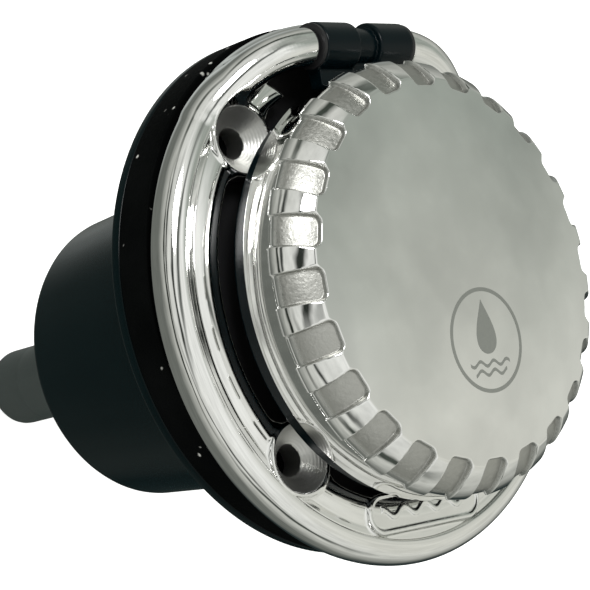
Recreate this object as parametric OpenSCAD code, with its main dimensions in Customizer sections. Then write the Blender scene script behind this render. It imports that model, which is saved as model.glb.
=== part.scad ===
// Deck fill cap: a polished stainless deck flange with a hinged, turning lid,
// a closed plastic cup below the deck and a tapered hose tail under the cup.
// Axes: X to the right, Y towards the hinge, Z out of the deck. z = 0 is the
// face that lies on the deck, and X = Y = 0 is the centre of the four screw holes.

/* [Flange] */
// outside diameter of the flange bead
flange_d = 100; // [99:0.5:120]
// section radius of the outer bead
bead_r = 3.8; // [3.2:0.1:4.2]
// diameter of the flange opening
opening_d = 77.4; // [76:0.2:80]
// height of the band's crest above the flange underside
band_h = 7.6; // [7:0.1:7.9]
// thickness of the band under its crest
band_t = 4.6; // [3.6:0.1:4.8]
// distance of the band's crest from the opening
crest_w = 2.6; // [1:0.1:3]
// depth of the flat step between bead and band, below the top of the bead
valley_deep = 0.7; // [0.3:0.1:1.2]
// width of that step
valley_w = 1.6; // [1:0.1:2.4]
// screw hole spacing along X and along Y
screw_spacing = 56; // [52:0.5:58]
// screw hole diameter
screw_hole_d = 5.6; // [4:0.1:6]
// diameter of the countersink at its mouth
sink_d = 12.2; // [10:0.1:12.6]
// outside diameter of each screw boss
boss_d = 13.4; // [13:0.1:14.5]
// how far a screw boss stands above the band
boss_rise = 0.1; // [0.1:0.1:0.5]
// length of the blank name pad
pad_l = 29.2; // [20:0.2:30]
// width of the blank name pad
pad_w = 7.4; // [5:0.2:8]
// height of the name pad above the band
pad_rise = 0.4; // [0.2:0.1:0.6]
// distance of the pad's centre from the flange centre
pad_y = 40.1; // [39:0.1:41]

/* [Hinge] */
// how far the hinge axis lies inside the centre of the bead's section
hinge_inset = 2.6; // [2.4:0.1:3.4]
// height of the hinge axis above the deck face
hinge_z = 21.2; // [20.6:0.1:21.6]
// diameter of the flange's hinge horns
horn_d = 7; // [6.4:0.1:7.6]
// distance between the end faces of the two horns
horn_gap = 24; // [20:0.5:26]
// diameter of the carrier's barrel
barrel_d = 8.7; // [8:0.1:9]
// width of the groove round the middle of the barrel
barrel_groove_w = 4.9; // [3.5:0.1:5.5]
// diameter of the barrel inside that groove
barrel_groove_d = 6.6; // [6:0.1:7.4]
// diameter of the hinge pin
pin_d = 3; // [2.5:0.1:3.4]
// length of the hinge pin
pin_l = 38; // [34:0.5:40]
// wall of each hinge bush
bush_wall = 0.8; // [0.6:0.05:1]
// thickness of each hinge washer
hinge_washer_t = 0.6; // [0.4:0.05:0.8]

/* [Base] */
// how much smaller the base gasket and the cup rim are than the flange
base_inset = 3; // [1:0.1:5]
// how far the base is set towards the hinge
base_shift = 2.1; // [1:0.1:2.5]
// thickness of the cup rim
rim_t = 2.2; // [2:0.1:3]
// thickness of the base gasket
base_gasket_t = 7.4; // [5:0.1:9]
// section width of the seal under the rim
deck_seal_w = 2; // [1.5:0.1:2.2]

/* [Cup and tail] */
// how far the lid, neck and cup axis is set away from the hinge
axis_shift = 0.7; // [0.4:0.1:1]
// how much wider the cup is at the deck than the neck above it
cup_step = 1; // [0.4:0.1:2]
// how much narrower the cup is at its rear end
cup_taper = 6.2; // [3:0.2:10]
// depth of the cup below the deck face
cup_l = 51.5; // [46:0.5:70]
// cup wall thickness
cup_wall = 2.4; // [2:0.1:2.5]
// hose tail diameter next to the cup
tail_root_d = 25.6; // [22:0.2:28]
// hose tail diameter at its straight end
tail_end_d = 16; // [14:0.2:18]
// length of the hose tail below the cup
tail_l = 44; // [30:0.5:55]
// length of the straight end of the hose tail
tail_land_l = 8; // [6:0.5:12]
// edge rounding at the end of the hose tail
tail_round = 2.6; // [1:0.1:2.6]
// bore of the hose tail
tail_bore_d = 10.6; // [8:0.2:10.8]
// diameter of the tail's threaded shank
shank_d = 14; // [13.4:0.1:15]
// width of the tail nut across its flats
nut_af = 22; // [19:0.5:26]
// thickness of the tail nut
nut_t = 5.5; // [4:0.1:7]

/* [Neck] */
// bore of the filler neck
neck_bore_d = 54.6; // [54.4:0.1:55]
// wall of the filler neck
neck_wall = 3.7; // [3.2:0.1:3.9]
// diameter of the neck's rim under the flange
neck_rim_d = 87.6; // [87:0.2:88]
// height of the sealing land above the deck face
neck_top_z = 15.8; // [15.4:0.1:15.8]
// height of the ledge that carries the strainer
ledge_z = 8; // [7:0.1:8.4]
// width of that ledge
ledge_w = 1.9; // [1.6:0.1:2.4]
// depth of the strainer below its rim
strainer_l = 36; // [20:0.5:44]
// number of slots round the strainer
strainer_slots = 16; // [8:1:20]

/* [Lid] */
// outside diameter of the lid skirt
lid_d = 77.6; // [76:0.1:78]
// height of the skirt's lower edge above the deck face
skirt_z = 22.5; // [22.4:0.1:22.8]
// height of the straight part of the skirt
skirt_h = 6.9; // [5:0.1:8]
// how far the lands between the grip recesses stand out of the skirt
land_rise = 0.7; // [0.4:0.05:0.9]
// width of the shoulder between the skirt and the top
shoulder_w = 4.7; // [4:0.1:6]
// height of the shoulder
shoulder_h = 6.8; // [6:0.1:9]
// rise of the dome over the top
dome_h = 1.6; // [0.5:0.1:3]
// number of grip recesses
grips = 24; // [16:2:30]
// width of each grip recess
grip_w = 5.4; // [3.5:0.1:5.6]
// depth of each grip recess
grip_depth = 1.1; // [0.6:0.1:1.3]
// how much wider the plug's hub is than the neck bore
hub_step = 3; // [2.6:0.1:3.4]
// gap all round between the spigot's thread rings and the neck bore
thread_gap = 1.1; // [0.9:0.05:1.6]
// height of the spigot's lower end above the deck face
spigot_z = 13.6; // [13.2:0.1:14.2]
// how much smaller the carrier ring is than the lid skirt
carrier_inset = 2.6; // [1.6:0.1:5]
// height of the carrier's underside above the deck face
carrier_z = 18.8; // [18.7:0.05:19]
// thickness of the carrier ring
carrier_t = 3.1; // [2.6:0.1:3.1]

/* [Hidden] */
$fn = 96;
// clearances between pieces
fit_gap = 0.05;
run_gap = 0.3;
seal_gap = 0.2;
flange_z = rim_t + base_gasket_t;
flange_r = flange_d / 2;
base_d = flange_d - base_inset;
bead_c = flange_r - bead_r;
hinge_y = bead_c - hinge_inset;
bead_z = flange_z + bead_r;
band_z = flange_z + band_h;
valley_z = bead_z + bead_r - valley_deep;
horn_foot_x = 32.4;
notch_wide = 20.5;
bead_cut_r = bead_c - 0.2;
pocket_r = neck_rim_d / 2 + 0.4;
neck_screw_r = neck_rim_d / 2 - 2.7;
neck_screw_angles = [18, 162, 198, 342];
half = screw_spacing / 2;
neck_d = neck_bore_d + 2 * neck_wall;
ledge_d = neck_bore_d - 2 * ledge_w;
o_ring_r = (neck_bore_d + neck_d) / 4;
o_ring_w = 1.8;
clip_groove_z = ledge_z + 1.1;
clip_groove_w = 1.1;
cup_top_d = neck_d + cup_step;
cup_end_d = cup_top_d - cup_taper;
boss_z = band_z + boss_rise;
barrel_half = horn_gap / 2 - run_gap - hinge_washer_t;
cup_z = -cup_l;
cup_floor_t = 2.5;
lid_z = skirt_z + skirt_h;
lid_edge_z = lid_z + shoulder_h;
lid_top_d = lid_d - 2 * shoulder_w;
lid_wall = 2.2;
carrier_d = lid_d - carrier_inset;
hub_d = neck_bore_d + hub_step;
spigot_d = neck_bore_d - 2 * thread_gap;
plug_bore_r = spigot_d / 2 - 5.2;
lid_screw_r = plug_bore_r - 6.5;
lid_screw_angles = [45:90:315];
disc_z = 22.6;
disc_t = 3.4;
hub_z = 17;
clip_z = 17.65;
clip_t = 0.8;
seal_root_t = 1.5;
tail_flange_t = 2;
tail_z = cup_z - seal_root_t;
tail_end_z = cup_z - tail_l;
collar_t = flange_z + band_h - band_t;

module on_axis() { translate([0, -axis_shift, 0]) children(); }
module four_corners() {
    for (x = [-half, half]) for (y = [-half, half]) translate([x, y, 0]) children();
}
module along_x(x0, x1) {
    translate([x0, hinge_y, hinge_z]) rotate([0, 90, 0]) linear_extrude(x1 - x0) children();
}
module tube(z0, z1, ro, ri) {
    translate([0, 0, z0]) difference() {
        cylinder(h = z1 - z0, r = ro);
        translate([0, 0, -1]) cylinder(h = z1 - z0 + 2, r = ri);
    }
}
module stadium(l, w, z0, z1) {
    translate([-(l - w) / 2, -w / 2, z0]) cube([l - w, w, z1 - z0]);
    for (s = [-1, 1]) translate([s * (l - w) / 2, 0, z0]) cylinder(h = z1 - z0, d = w);
}

// bead, groove and band turned as one profile
module flange_ring() {
    inner = opening_d / 2;
    rotate_extrude() {
        intersection() {
            translate([bead_c, bead_z]) circle(r = bead_r);
            translate([bead_cut_r, flange_z - 1]) square([bead_r + 1, 2 * bead_r + 2]);
        }
        translate([pocket_r, flange_z]) square([bead_c - pocket_r, bead_r]);
        polygon([[inner, band_z - band_t], [bead_c, band_z - band_t], [bead_c, valley_z],
            [bead_cut_r - valley_w, valley_z - 0.05], [inner + crest_w + 1, band_z - 0.1], [inner + crest_w, band_z],
            [inner + 0.9, band_z - 0.1], [inner + 0.25, band_z - 0.4], [inner, band_z - 1]]);
    }
}
// a horn leaves the bead, climbs and ends as a straight round knuckle
module horn(s) {
    r = horn_d / 2;
    path = [[horn_gap / 2 + 0.5, hinge_y, hinge_z], [19, hinge_y - 0.3, hinge_z - 0.4],
        [26, hinge_y - 3.8, hinge_z - 3.2], [horn_foot_x, hinge_y - 10.3, bead_z + 0.2]];
    hull() {
        translate([s > 0 ? horn_gap / 2 : -horn_gap / 2 - 1, hinge_y, hinge_z])
            rotate([0, 90, 0]) cylinder(h = 1, r = r, $fn = 32);
        translate([s * path[1][0], path[1][1], path[1][2]]) sphere(r = r, $fn = 32);
    }
    for (i = [1, 2]) hull() {
        translate([s * path[i][0], path[i][1], path[i][2]]) sphere(r = r, $fn = 32);
        translate([s * path[i + 1][0], path[i + 1][1], path[i + 1][2]]) sphere(r = r, $fn = 32);
    }
}
// way through the band for the carrier's arm
module arm_notch() {
    translate([0, 0, flange_z - 1]) linear_extrude(band_h + 4)
        polygon([[-14, 30], [-15.2, 35.6], [-notch_wide, 38.8], [-17, bead_c - 4.6], [0, bead_c - 3], [17, bead_c - 4.6],
            [notch_wide, 38.8], [15.2, 35.6], [14, 30]]);
}
module deck_flange() color([0.78, 0.78, 0.77]) difference() {
    union() {
        difference() {
            flange_ring();
            arm_notch();
        }
        four_corners() translate([0, 0, flange_z]) cylinder(h = boss_z - flange_z, d = boss_d);
        horn(1);
        horn(-1);
        translate([0, -pad_y, 0]) difference() {
            stadium(pad_l, pad_w, band_z - band_t, band_z + pad_rise);
            stadium(pad_l - 1.6, pad_w - 1.6, band_z + pad_rise - 0.5, band_z + pad_rise + 1);
        }
    }
    four_corners() {
        translate([0, 0, flange_z - 1]) cylinder(h = band_h + 4, d = screw_hole_d);
        translate([0, 0, boss_z - (sink_d - screw_hole_d) / 2])
            cylinder(h = (sink_d - screw_hole_d) / 2 + 0.01, d1 = screw_hole_d, d2 = sink_d);
    }
    along_x(-pin_l / 2 - run_gap, pin_l / 2 + run_gap) circle(d = pin_d);
    along_x(-horn_gap / 2, horn_gap / 2) circle(d = barrel_d + 1);
    translate([0, 0, flange_z - 6]) cylinder(h = 6, r = flange_r + 5);
    for (a = neck_screw_angles) on_axis() rotate(a) translate([neck_screw_r, 0, flange_z])
        cylinder(h = band_h - 1.2, d = 2.6, $fn = 32);
}
module base_gasket() color([0.02, 0.02, 0.02]) difference() {
    translate([0, base_shift, rim_t + fit_gap]) cylinder(h = base_gasket_t - 2 * fit_gap, d = base_d);
    on_axis() cylinder(h = flange_z + 1, d = neck_d + 0.8);
    four_corners() cylinder(h = flange_z + 1, d = screw_hole_d);
}
module housing_cup() color([0.03, 0.04, 0.045]) difference() {
    union() {
        translate([0, base_shift, 0]) cylinder(h = rim_t, d = base_d);
        on_axis() rotate_extrude() polygon([[0, cup_z], [cup_end_d / 2 - 1, cup_z], [cup_end_d / 2 - 0.3, cup_z + 0.3],
            [cup_end_d / 2, cup_z + 1], [cup_top_d / 2, 0], [cup_top_d / 2, rim_t], [0, rim_t]]);
    }
    on_axis() rotate_extrude() polygon([[0, cup_z + cup_floor_t], [cup_end_d / 2 - cup_wall, cup_z + cup_floor_t],
        [cup_top_d / 2 - cup_wall, rim_t + 1], [0, rim_t + 1]]);
    on_axis() translate([0, 0, cup_z - 1]) cylinder(h = cup_floor_t + 2, d = shank_d + 0.4);
    four_corners() translate([0, 0, -1]) cylinder(h = rim_t + 2, d = screw_hole_d);
    on_axis() tube(-1, 1.2, cup_top_d / 2 + 1.4 + deck_seal_w, cup_top_d / 2 + 1.4);
}
module deck_seal() color([0.03, 0.03, 0.03]) on_axis()
    tube(0, 1.15, cup_top_d / 2 + 1.4 + deck_seal_w - fit_gap, cup_top_d / 2 + 1.4 + fit_gap);

module neck_collar() color([0.025, 0.025, 0.027]) difference() {
    union() {
        on_axis() translate([0, 0, rim_t + fit_gap]) cylinder(h = neck_top_z - rim_t - fit_gap, d = neck_d);
        translate([0, 0, flange_z]) cylinder(h = collar_t - flange_z - 0.2, d = neck_rim_d);
    }
    on_axis() {
        translate([0, 0, ledge_z]) cylinder(h = 20, d = neck_bore_d);
        cylinder(h = ledge_z + 1, d = ledge_d);
        tube(clip_groove_z, clip_groove_z + clip_groove_w, neck_bore_d / 2 + 0.8, ledge_d / 2);
        tube(rim_t, rim_t + o_ring_w + 0.1, o_ring_r + o_ring_w / 2 + 0.1, o_ring_r - o_ring_w / 2 - 0.1);
        translate([0, 0, neck_top_z - 0.5]) cylinder(h = 0.51, d1 = neck_bore_d, d2 = neck_bore_d + 1);
        for (a = neck_screw_angles) rotate(a) translate([neck_screw_r, 0, flange_z]) {
            translate([0, 0, -1]) cylinder(h = 5, d = 2.8, $fn = 32);
            translate([0, 0, -0.01]) cylinder(h = 1.2, d1 = 5, d2 = 2.8, $fn = 32);
        }
    }
    four_corners() translate([0, 0, rim_t]) cylinder(h = 20, d = boss_d + 0.6);
}
module neck_o_ring() color([0.05, 0.05, 0.05]) on_axis() translate([0, 0, rim_t + o_ring_w / 2 + 0.1])
    rotate_extrude() translate([o_ring_r, 0]) circle(d = o_ring_w, $fn = 32);

module neck_screws() color([0.7, 0.7, 0.7]) on_axis()
    for (a = neck_screw_angles) rotate(a) translate([neck_screw_r, 0, flange_z]) {
        cylinder(h = 1.1, d1 = 4.8, d2 = 2.6, $fn = 32);
        cylinder(h = 5, d = 2.5, $fn = 32);
    }
module strainer_basket() color([0.72, 0.72, 0.72]) on_axis() difference() {
    union() {
        tube(ledge_z + fit_gap, ledge_z + 0.85, neck_bore_d / 2 - 0.3, ledge_d / 2 - 1.2);
        tube(ledge_z + 0.85 - strainer_l, ledge_z + 0.85, ledge_d / 2 - 0.5, ledge_d / 2 - 1.2);
        translate([0, 0, ledge_z + 0.85 - strainer_l]) cylinder(h = 0.8, d = ledge_d - 1);
    }
    for (i = [0:strainer_slots - 1]) rotate(i * 360 / strainer_slots) for (z = [0, 1])
        translate([ledge_d / 2 - 3, -1.5, ledge_z - 6 - strainer_l * 0.38 * (z + 1) + 6])
            cube([5, 3, strainer_l * 0.32]);
    for (r = [7, 14]) for (i = [0:r - 2]) rotate(i * 360 / (r - 1))
        translate([r, 0, ledge_z - strainer_l]) cylinder(h = 4, r = 1.6, $fn = 24);
}
module strainer_clip() color([0.7, 0.7, 0.7]) on_axis() difference() {
    tube(clip_groove_z + 0.15, clip_groove_z + clip_groove_w - 0.15, neck_bore_d / 2 + 0.65, neck_bore_d / 2 - 0.9);
    translate([neck_bore_d / 2 - 3, -4, clip_groove_z - 0.1]) cube([6, 8, 2]);
}
module hose_tail() color([0.14, 0.15, 0.15]) on_axis() difference() {
    union() {
        rotate_extrude() {
            polygon([[0, tail_end_z], [tail_end_d / 2 - tail_round, tail_end_z], [tail_end_d / 2, tail_end_z + tail_round],
                [tail_end_d / 2, tail_end_z + tail_round + tail_land_l], [tail_root_d / 2, tail_z - tail_flange_t],
                [tail_root_d / 2 + 2, tail_z - tail_flange_t], [tail_root_d / 2 + 2, tail_z], [0, tail_z]]);
            intersection() {
                translate([tail_end_d / 2 - tail_round, tail_end_z + tail_round]) circle(r = tail_round);
                translate([0, tail_end_z]) square([tail_end_d / 2, tail_round]);
            }
        }
        translate([0, 0, tail_z - 1]) cylinder(h = seal_root_t + cup_floor_t + nut_t + 3, d = shank_d);
    }
    translate([0, 0, tail_end_z - 1]) cylinder(h = tail_l + 20, d = tail_bore_d);
}
module tail_seal() color([0.04, 0.04, 0.04]) on_axis()
    tube(tail_z + fit_gap, cup_z - fit_gap, tail_root_d / 2 + 1.4, shank_d / 2 + 0.2);

module tail_nut() color([0.12, 0.12, 0.12]) on_axis() translate([0, 0, cup_z + cup_floor_t + fit_gap]) difference() {
    union() {
        cylinder(h = nut_t, d = nut_af / cos(30), $fn = 6);
        cylinder(h = 1.2, d = nut_af + 4);
    }
    translate([0, 0, -1]) cylinder(h = nut_t + 2, d = shank_d + 2 * fit_gap);
}
module hinge_pin() color([0.7, 0.7, 0.7]) along_x(-pin_l / 2, pin_l / 2) circle(d = pin_d - 2 * 0.01);

module carrier_ring() color([0.02, 0.025, 0.03]) difference() {
    union() {
        on_axis() translate([0, 0, carrier_z]) cylinder(h = carrier_t, d = carrier_d);
        translate([-barrel_half, 28, carrier_z]) cube([2 * barrel_half, hinge_y - 28, carrier_t]);
        for (s = [-1, 1]) along_x(s > 0 ? barrel_groove_w / 2 : -barrel_half, s > 0 ? barrel_half : -barrel_groove_w / 2)
            circle(d = barrel_d);
        along_x(-barrel_groove_w / 2, barrel_groove_w / 2) circle(d = barrel_groove_d);
    }
    on_axis() translate([0, 0, carrier_z - 1]) cylinder(h = carrier_t + 2, d = hub_d + 2 * run_gap);
    along_x(-barrel_half - 1, barrel_half + 1) circle(d = pin_d + 2 * (bush_wall + fit_gap));
}
module hinge_bush(s) {
    w = barrel_half - barrel_groove_w / 2;
    along_x(s > 0 ? barrel_half - w : -barrel_half, s > 0 ? barrel_half : -barrel_half + w) difference() {
        circle(d = pin_d + 2 * (bush_wall + fit_gap) - 0.02);
        circle(d = pin_d + 2 * fit_gap);
    }
}
module hinge_bush_left() color([0.85, 0.85, 0.8]) hinge_bush(-1);
module hinge_bush_right() color([0.85, 0.85, 0.8]) hinge_bush(1);

module hinge_washer(s) {
    along_x(s > 0 ? barrel_half : -barrel_half - hinge_washer_t, s > 0 ? barrel_half + hinge_washer_t : -barrel_half)
        difference() {
            circle(d = barrel_d - 0.4);
            circle(d = pin_d + 0.2);
        }
}
module hinge_washer_left() color([0.02, 0.02, 0.02]) hinge_washer(-1);
module hinge_washer_right() color([0.02, 0.02, 0.02]) hinge_washer(1);

// one grip recess starts flush with the skirt, follows the shoulder and has a round upper end
module grip_cut() {
    foot = lid_d / 2 + land_rise;
    lean = atan2(foot - lid_top_d / 2, shoulder_h);
    slope = norm([foot - lid_top_d / 2, shoulder_h]);
    translate([foot, 0, lid_z]) rotate([0, -lean, 0]) translate([-grip_depth, 0, 0]) {
        translate([0, -grip_w / 2, -0.8]) cube([6, grip_w, slope - grip_w / 2 + 1.4]);
        translate([0, 0, slope - grip_w / 2 + 0.6]) rotate([0, 90, 0]) cylinder(h = 6, d = grip_w, $fn = 32);
    }
}
module lid_shell() color([0.8, 0.8, 0.79]) on_axis() difference() {
    union() {
        difference() {
            rotate_extrude() polygon([[0, skirt_z], [lid_d / 2 - 0.3, skirt_z], [lid_d / 2, skirt_z + 0.3], [lid_d / 2, lid_z - 0.3],
                [lid_d / 2 + land_rise, lid_z], [lid_d / 2 + land_rise - 0.1, lid_z + 0.7], [lid_d / 2 - 1.2, lid_z + 3.5],
                [lid_top_d / 2 + 0.6, lid_edge_z - 0.7], [lid_top_d / 2 - 0.2, lid_edge_z],
                [lid_top_d / 4, lid_edge_z + dome_h * 0.75], [0, lid_edge_z + dome_h]]);
            rotate_extrude() polygon([[0, skirt_z - 1], [lid_d / 2 - lid_wall, skirt_z - 1], [lid_d / 2 - lid_wall, lid_z - 2.5],
                [lid_top_d / 2 - 2.6, lid_edge_z - 2.2], [0, lid_edge_z - 1.2]]);
        }
        for (a = lid_screw_angles) rotate(a) translate([lid_screw_r, 0, disc_z + disc_t + fit_gap])
            cylinder(h = lid_edge_z - disc_z - disc_t - 1, d = 7.6, $fn = 48);
    }
    for (a = lid_screw_angles) rotate(a) translate([lid_screw_r, 0, disc_z]) cylinder(h = 10.4, d = 4.1, $fn = 32);
    for (i = [0:grips - 1]) rotate(i * 360 / grips) grip_cut();
}
module lid_plug() color([0.03, 0.03, 0.032]) on_axis() difference() {
    union() {
        translate([0, 0, disc_z]) cylinder(h = disc_t, r = lid_d / 2 - lid_wall - 0.15);
        translate([0, 0, hub_z]) cylinder(h = disc_z - hub_z + 0.5, d = hub_d);
        translate([0, 0, spigot_z + 0.5]) cylinder(h = hub_z - spigot_z, d = spigot_d - 1);
        translate([0, 0, spigot_z]) cylinder(h = 0.5, d1 = spigot_d - 2, d2 = spigot_d - 1);
        for (z = [0.6, 1.6]) translate([0, 0, spigot_z + z]) cylinder(h = 0.5, d = spigot_d);
    }
    translate([0, 0, spigot_z - 1]) cylinder(h = disc_z - spigot_z + 2, r = plug_bore_r);
    tube(clip_z - 0.1, clip_z + clip_t + 0.1, 40, hub_d / 2 - 1.2);
    for (a = lid_screw_angles) rotate(a) translate([lid_screw_r, 0, disc_z - 1]) cylinder(h = disc_t + 2, d = 4.4, $fn = 32);
}
module lid_screws() color([0.72, 0.72, 0.72]) on_axis()
    for (a = lid_screw_angles) rotate(a) translate([lid_screw_r, 0, disc_z + 0.95]) {
        difference() {
            translate([0, 0, -2.4]) cylinder(h = 2.4, d = 7.4, $fn = 48);
            for (q = [0, 90]) rotate(q) translate([-2.2, -0.5, -3]) cube([4.4, 1, 1.8]);
        }
        cylinder(h = 9, d = 4, $fn = 32);
    }
module lid_seal() color([0.03, 0.03, 0.03]) on_axis()
    tube(neck_top_z + seal_gap, hub_z - 0.02, hub_d / 2 - 0.2, spigot_d / 2 - 0.45);

module slip_washer() color([0.75, 0.75, 0.7]) on_axis()
    tube(carrier_z + carrier_t + fit_gap, disc_z - fit_gap, carrier_d / 2 - 1.5, hub_d / 2 + 0.1);

module retaining_ring() color([0.7, 0.7, 0.7]) on_axis() difference() {
    tube(clip_z, clip_z + clip_t, hub_d / 2 + 2.4, hub_d / 2 - 1.1);
    translate([hub_d / 2 - 3, -3, clip_z - 1]) cube([8, 6, clip_t + 2]);
}

deck_flange();
base_gasket();
housing_cup();
deck_seal();
neck_collar();
neck_o_ring();
neck_screws();
strainer_basket();
strainer_clip();
hose_tail();
tail_seal();
tail_nut();
hinge_pin();
carrier_ring();
hinge_bush_left();
hinge_bush_right();
hinge_washer_left();
hinge_washer_right();
lid_shell();
lid_plug();
lid_screws();
lid_seal();
slip_washer();
retaining_ring();
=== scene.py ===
# Deck fill cap: polished deck flange, hinged turning lid, rubber base, closed cup and hose tail.
# Sizes in the dictionaries are millimetres and degrees; the meshes go to Blender in metres.
import math

import bmesh
import bpy
import numpy as np
from mathutils import Matrix, Vector


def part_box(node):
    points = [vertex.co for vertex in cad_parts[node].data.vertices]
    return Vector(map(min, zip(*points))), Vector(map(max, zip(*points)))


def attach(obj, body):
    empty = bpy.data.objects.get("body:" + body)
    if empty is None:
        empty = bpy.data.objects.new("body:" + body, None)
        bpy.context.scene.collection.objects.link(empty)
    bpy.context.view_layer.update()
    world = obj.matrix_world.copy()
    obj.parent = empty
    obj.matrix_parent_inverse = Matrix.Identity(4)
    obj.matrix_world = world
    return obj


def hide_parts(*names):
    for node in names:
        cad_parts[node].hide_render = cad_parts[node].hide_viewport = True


mm = 0.001

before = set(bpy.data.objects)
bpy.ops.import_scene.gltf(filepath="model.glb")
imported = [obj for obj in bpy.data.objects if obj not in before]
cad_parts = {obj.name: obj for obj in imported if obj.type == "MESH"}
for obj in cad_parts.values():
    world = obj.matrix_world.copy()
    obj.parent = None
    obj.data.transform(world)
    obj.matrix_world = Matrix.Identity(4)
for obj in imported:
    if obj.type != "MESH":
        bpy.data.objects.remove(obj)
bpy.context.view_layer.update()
print("frame loaded with", len(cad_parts), "nodes")


# where the CAD parts are, in millimetres
def nodeBox(node):
    low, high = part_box(node)
    return np.array(low) / mm, np.array(high) / mm


flangeLow, flangeHigh = nodeBox("deck_flange")
lidLow, lidHigh = nodeBox("lid_shell")
cupLow, cupHigh = nodeBox("housing_cup")
gasketLow, gasketHigh = nodeBox("base_gasket")
pinLow, pinHigh = nodeBox("hinge_pin")
tailLow, tailHigh = nodeBox("hose_tail")
carrierLow, carrierHigh = nodeBox("carrier_ring")
hinge = (pinLow + pinHigh) / 2
lidAxisY = (lidLow[1] + lidHigh[1]) / 2
baseAxisY = (gasketLow[1] + gasketHigh[1]) / 2


# fields give the distance in mm to a shape, negative inside it
def softUnion(a, b, k):
    h = np.maximum(k - np.abs(a - b), 0) / k
    return np.minimum(a, b) - h * h * k / 4


def softCut(a, b, k):
    return -softUnion(-a, b, k)


def softCommon(a, b, k):
    return -softUnion(-a, -b, k)


def rod(x, y, z, points, radius):
    best = None
    for p, q in zip(points[:-1], points[1:]):
        d = q - p
        t = np.clip(((x - p[0]) * d[0] + (y - p[1]) * d[1] + (z - p[2]) * d[2]) / (d @ d), 0, 1)
        gap = (x - p[0] - d[0] * t) ** 2 + (y - p[1] - d[1] * t) ** 2 + (z - p[2] - d[2] * t) ** 2
        best = gap if best is None else np.minimum(best, gap)
    return np.sqrt(best) - radius


def outline(u, v, points):
    nearest, inside = None, np.zeros(np.broadcast(u, v).shape, bool)
    for i, (au, av) in enumerate(points):
        bu, bv = points[(i + 1) % len(points)]
        eu, ev = bu - au, bv - av
        t = np.clip(((u - au) * eu + (v - av) * ev) / (eu * eu + ev * ev), 0, 1)
        gap = (u - au - eu * t) ** 2 + (v - av - ev * t) ** 2
        nearest = gap if nearest is None else np.minimum(nearest, gap)
        if ev != 0:
            inside ^= ((av <= v) != (bv <= v)) & (u < au + (v - av) * eu / ev)
    return np.where(inside, -1, 1) * np.sqrt(nearest)


def roundedBox(x, y, middle, half, corner):
    dx = np.abs(x - middle[0]) - half[0] + corner
    dy = np.abs(y - middle[1]) - half[1] + corner
    return np.hypot(np.maximum(dx, 0), np.maximum(dy, 0)) + np.minimum(np.maximum(dx, dy), 0) - corner


def bentLine(points, count):
    t = np.linspace(0, 1, count)[:, None]
    a, b, c, d = (np.array(p, float) for p in points)
    return a * (1 - t) ** 3 + 3 * b * t * (1 - t) ** 2 + 3 * c * t * t * (1 - t) + d * t ** 3


# lines with rounded corners: (u, v, corner radius) for each point
def softLine(corners, steps=6):
    out = []
    for i, (u, v, r) in enumerate(corners):
        p = np.array([u, v], float)
        if r == 0 or i in (0, len(corners) - 1):
            out.append(p)
            continue
        before = np.array(corners[i - 1][:2], float) - p
        after = np.array(corners[i + 1][:2], float) - p
        before, after = before / np.linalg.norm(before), after / np.linalg.norm(after)
        half = math.acos(np.clip(before @ after, -1, 1)) / 2
        reach = r / math.tan(half)
        for t in np.linspace(0, 1, steps):
            out.append(p + before * reach * (1 - t) ** 2 + after * reach * t * t)
    return np.array(out)


# the skin of a field sampled on a grid: points in grid steps, and quads
def skinOf(values, wrap):
    if wrap:
        values = np.concatenate([values, values[:1]], 0)
    inside = values < 0
    n = [s - 1 for s in values.shape]
    full = np.zeros(n, np.int8)
    corners = [(i, j, k) for i in (0, 1) for j in (0, 1) for k in (0, 1)]
    for i, j, k in corners:
        full += inside[i : n[0] + i, j : n[1] + j, k : n[2] + k]
    cells = np.argwhere((full > 0) & (full < 8))
    number = np.full(n, -1, np.int64)
    number[tuple(cells.T)] = np.arange(len(cells))
    total, hits = np.zeros((len(cells), 3)), np.zeros(len(cells))
    for corner in corners:
        for axis in range(3):
            if corner[axis] == 1:
                continue
            far = [c + (axis == i) for i, c in enumerate(corner)]
            a, b = values[tuple((cells + corner).T)], values[tuple((cells + far).T)]
            cross = (a < 0) != (b < 0)
            spot = np.tile(np.array(corner, float), (len(cells), 1))
            spot[:, axis] += np.where(cross, a / np.where(cross, a - b, 1), 0)
            total += spot * cross[:, None]
            hits += cross
    quads = []
    for axis in range(3):
        b, c = (axis + 1) % 3, (axis + 2) % 3
        low, high = [slice(None)] * 3, [slice(None)] * 3
        low[axis], high[axis] = slice(0, -1), slice(1, None)
        low, high = inside[tuple(low)], inside[tuple(high)]
        for outward in (True, False):
            at = np.argwhere(low & ~high if outward else high & ~low)
            for side in (b, c):
                first = 0 if wrap and side == 0 else 1
                at = at[(at[:, side] >= first) & (at[:, side] < n[side])]
            ring = []
            for stepB, stepC in ((1, 1), (0, 1), (0, 0), (1, 0)):
                cell = at.copy()
                cell[:, b] -= stepB
                cell[:, c] -= stepC
                if wrap:
                    cell[:, 0] %= n[0]
                ring.append(number[tuple(cell.T)])
            quads.append(np.stack(ring if outward != wrap else ring[::-1], 1))
    return cells + total / hits[:, None], np.concatenate(quads)


def slopeOf(field, points, reach):
    slope = np.zeros_like(points)
    for axis in range(3):
        step = np.zeros(3)
        step[axis] = reach
        slope[:, axis] = field(*(points + step).T) - field(*(points - step).T)
    return slope / (2 * reach)


def settle(field, points, rounds):
    for _ in range(rounds):
        slope = slopeOf(field, points, 0.02)
        push = field(*points.T) / np.maximum((slope**2).sum(1), 0.2)
        points = points - np.clip(push, -0.3, 0.3)[:, None] * slope
    slope = slopeOf(field, points, 0.03)
    return points, slope / np.maximum(np.linalg.norm(slope, axis=1), 1e-6)[:, None]


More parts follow.
